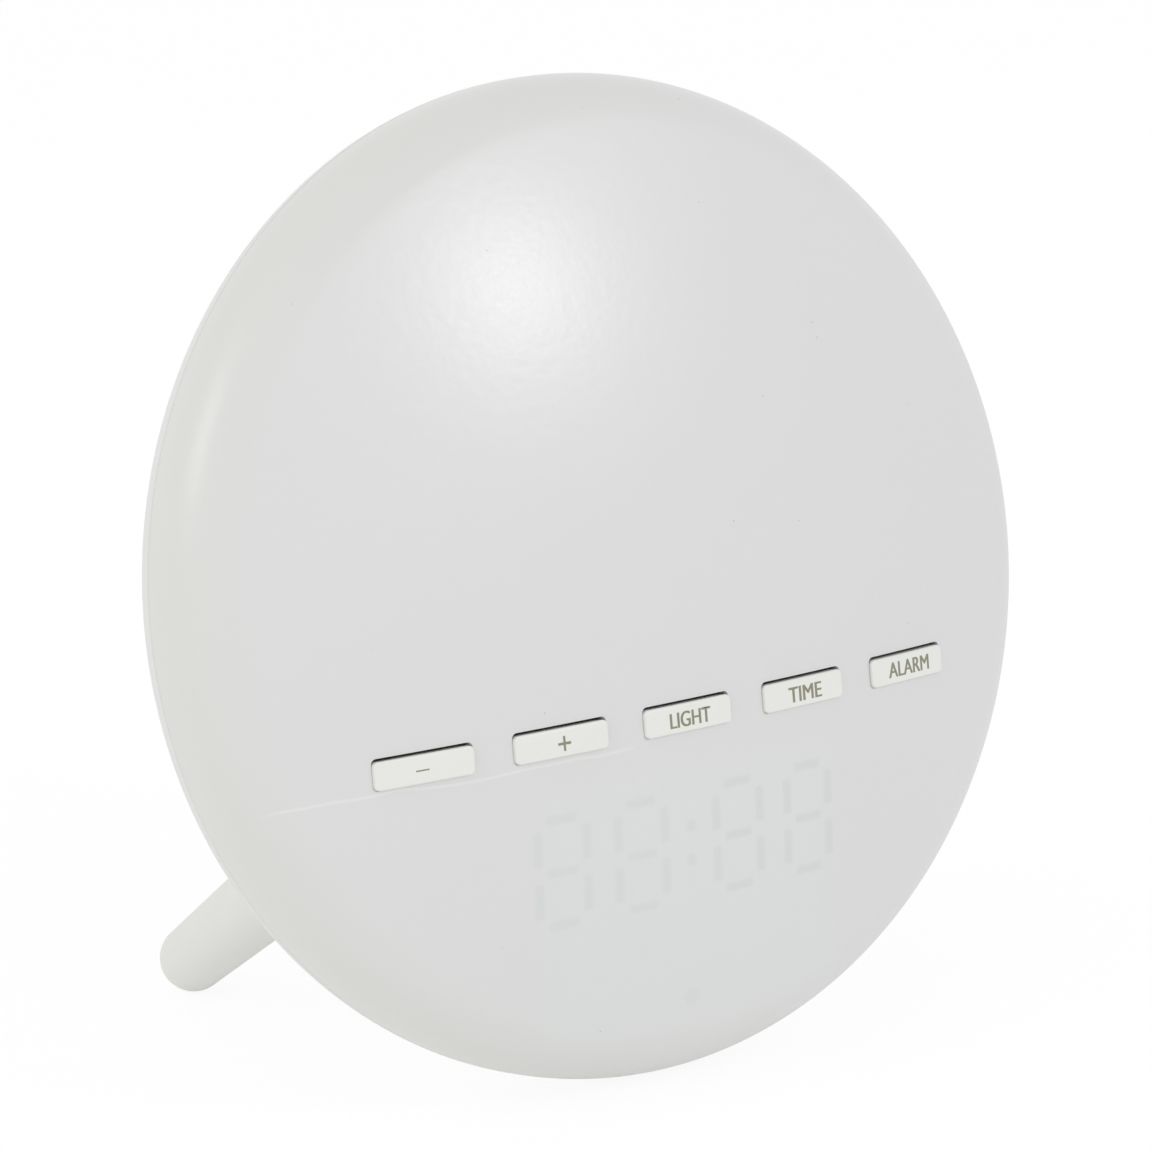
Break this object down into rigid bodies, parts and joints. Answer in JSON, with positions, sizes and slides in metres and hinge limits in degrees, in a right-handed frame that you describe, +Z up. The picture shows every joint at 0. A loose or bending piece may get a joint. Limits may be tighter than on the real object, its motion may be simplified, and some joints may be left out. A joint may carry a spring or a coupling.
{
  "type": "sunrise alarm clock",
  "caption": "Round sunrise alarm clock that leans back on rear legs, with a shallow domed opal front, a row of push keys in it and a digital display hidden behind it.",
  "frame": {"origin": "on the table, under the middle of the clock's bounding box", "axes": "+Z up, +Y from the front of the clock to its back, +X to the right as seen from the front"},
  "size_m": [0.17, 0.0952, 0.1661],
  "materials": {
    "opal_front": "satin opal",
    "white_shell": "satin",
    "white_leg": "satin",
    "white_key": "satin",
    "foot_rubber": "matte",
    "zinc_screw": "zinc plated",
    "switch_black": "matte",
    "plunger_black": "matte",
    "guide_black": "matte",
    "circuit_board": "lacquered",
    "chip_black": "matte",
    "crystal_can": "drawn",
    "capacitor_can": "drawn",
    "header_nylon": "matte",
    "display_grey": "matte",
    "display_segment": "milky",
    "tinned_pin": "tinned",
    "shroud_white": "matte",
    "led_phosphor": "phosphor coated",
    "reflector_white": "satin",
    "speaker_basket": "matte",
    "speaker_paper": "pressed",
    "speaker_pot": "zinc plated",
    "gasket_foam": "matte",
    "cell_can": "polished",
    "contact_nickel": "nickel plated",
    "socket_black": "matte",
    "socket_contact": "nickel plated",
    "lead_insulation": "smooth"
  },
  "bodies": {
    "clock": {"battery_door": "white_shell", "battery_door_screw": "zinc_screw", "board_headers": "header_nylon", "board_screws": "zinc_screw", "capacitors": "capacitor_can", "case_screws": "zinc_screw", "cell_contact_minus": "contact_nickel", "cell_contact_plus": "contact_nickel", "cell_leads": "lead_insulation", "clock_crystal": "crystal_can", "coin_cell": "cell_can", "controller_chip": "chip_black", "dc_jack": "socket_black", "dc_jack_contacts": "socket_contact", "dc_jack_nut": "socket_black", "display_case": "display_grey", "display_pins": "tinned_pin", "display_segments": "display_segment", "display_shroud": "shroud_white", "foot_pad": "foot_rubber", "front_diffuser": "opal_front", "key_guide": "guide_black", "key_guide_screws": "zinc_screw", "lamp_board": "circuit_board", "lamp_leads": "lead_insulation", "lamp_leds": "led_phosphor", "lamp_reflector": "reflector_white", "left_leg": "white_leg", "leg_screws": "zinc_screw", "main_board": "circuit_board", "power_leads": "lead_insulation", "rear_cover": "white_shell", "right_leg": "white_leg", "speaker_cone": "speaker_paper", "speaker_frame": "speaker_basket", "speaker_gasket": "gasket_foam", "speaker_leads": "lead_insulation", "speaker_magnet": "speaker_pot", "switch_bodies": "switch_black"},
    "minus_button": {"minus_key": "white_key", "minus_plunger": "plunger_black"},
    "plus_button": {"plus_key": "white_key", "plus_plunger": "plunger_black"},
    "light_button": {"light_key": "white_key", "light_plunger": "plunger_black"},
    "time_button": {"time_key": "white_key", "time_plunger": "plunger_black"},
    "alarm_button": {"alarm_key": "white_key", "alarm_plunger": "plunger_black"}
  },
  "joints": [
    {"name": "press_minus", "type": "slide", "parent": "clock", "child": "minus_button", "axis": [0, 0.9711, -0.2385], "range_m": [0, 0.0005], "stiffness_N_per_m": 1000, "springref_m": -0.0005},
    {"name": "press_plus", "type": "slide", "parent": "clock", "child": "plus_button", "axis": [0, 0.9711, -0.2385], "range_m": [0, 0.0005], "stiffness_N_per_m": 1000, "springref_m": -0.0005},
    {"name": "press_light", "type": "slide", "parent": "clock", "child": "light_button", "axis": [0, 0.9711, -0.2385], "range_m": [0, 0.0005], "stiffness_N_per_m": 1000, "springref_m": -0.0005},
    {"name": "press_time", "type": "slide", "parent": "clock", "child": "time_button", "axis": [0, 0.9711, -0.2385], "range_m": [0, 0.0005], "stiffness_N_per_m": 1000, "springref_m": -0.0005},
    {"name": "press_alarm", "type": "slide", "parent": "clock", "child": "alarm_button", "axis": [0, 0.9711, -0.2385], "range_m": [0, 0.0005], "stiffness_N_per_m": 1000, "springref_m": -0.0005}
  ]
}
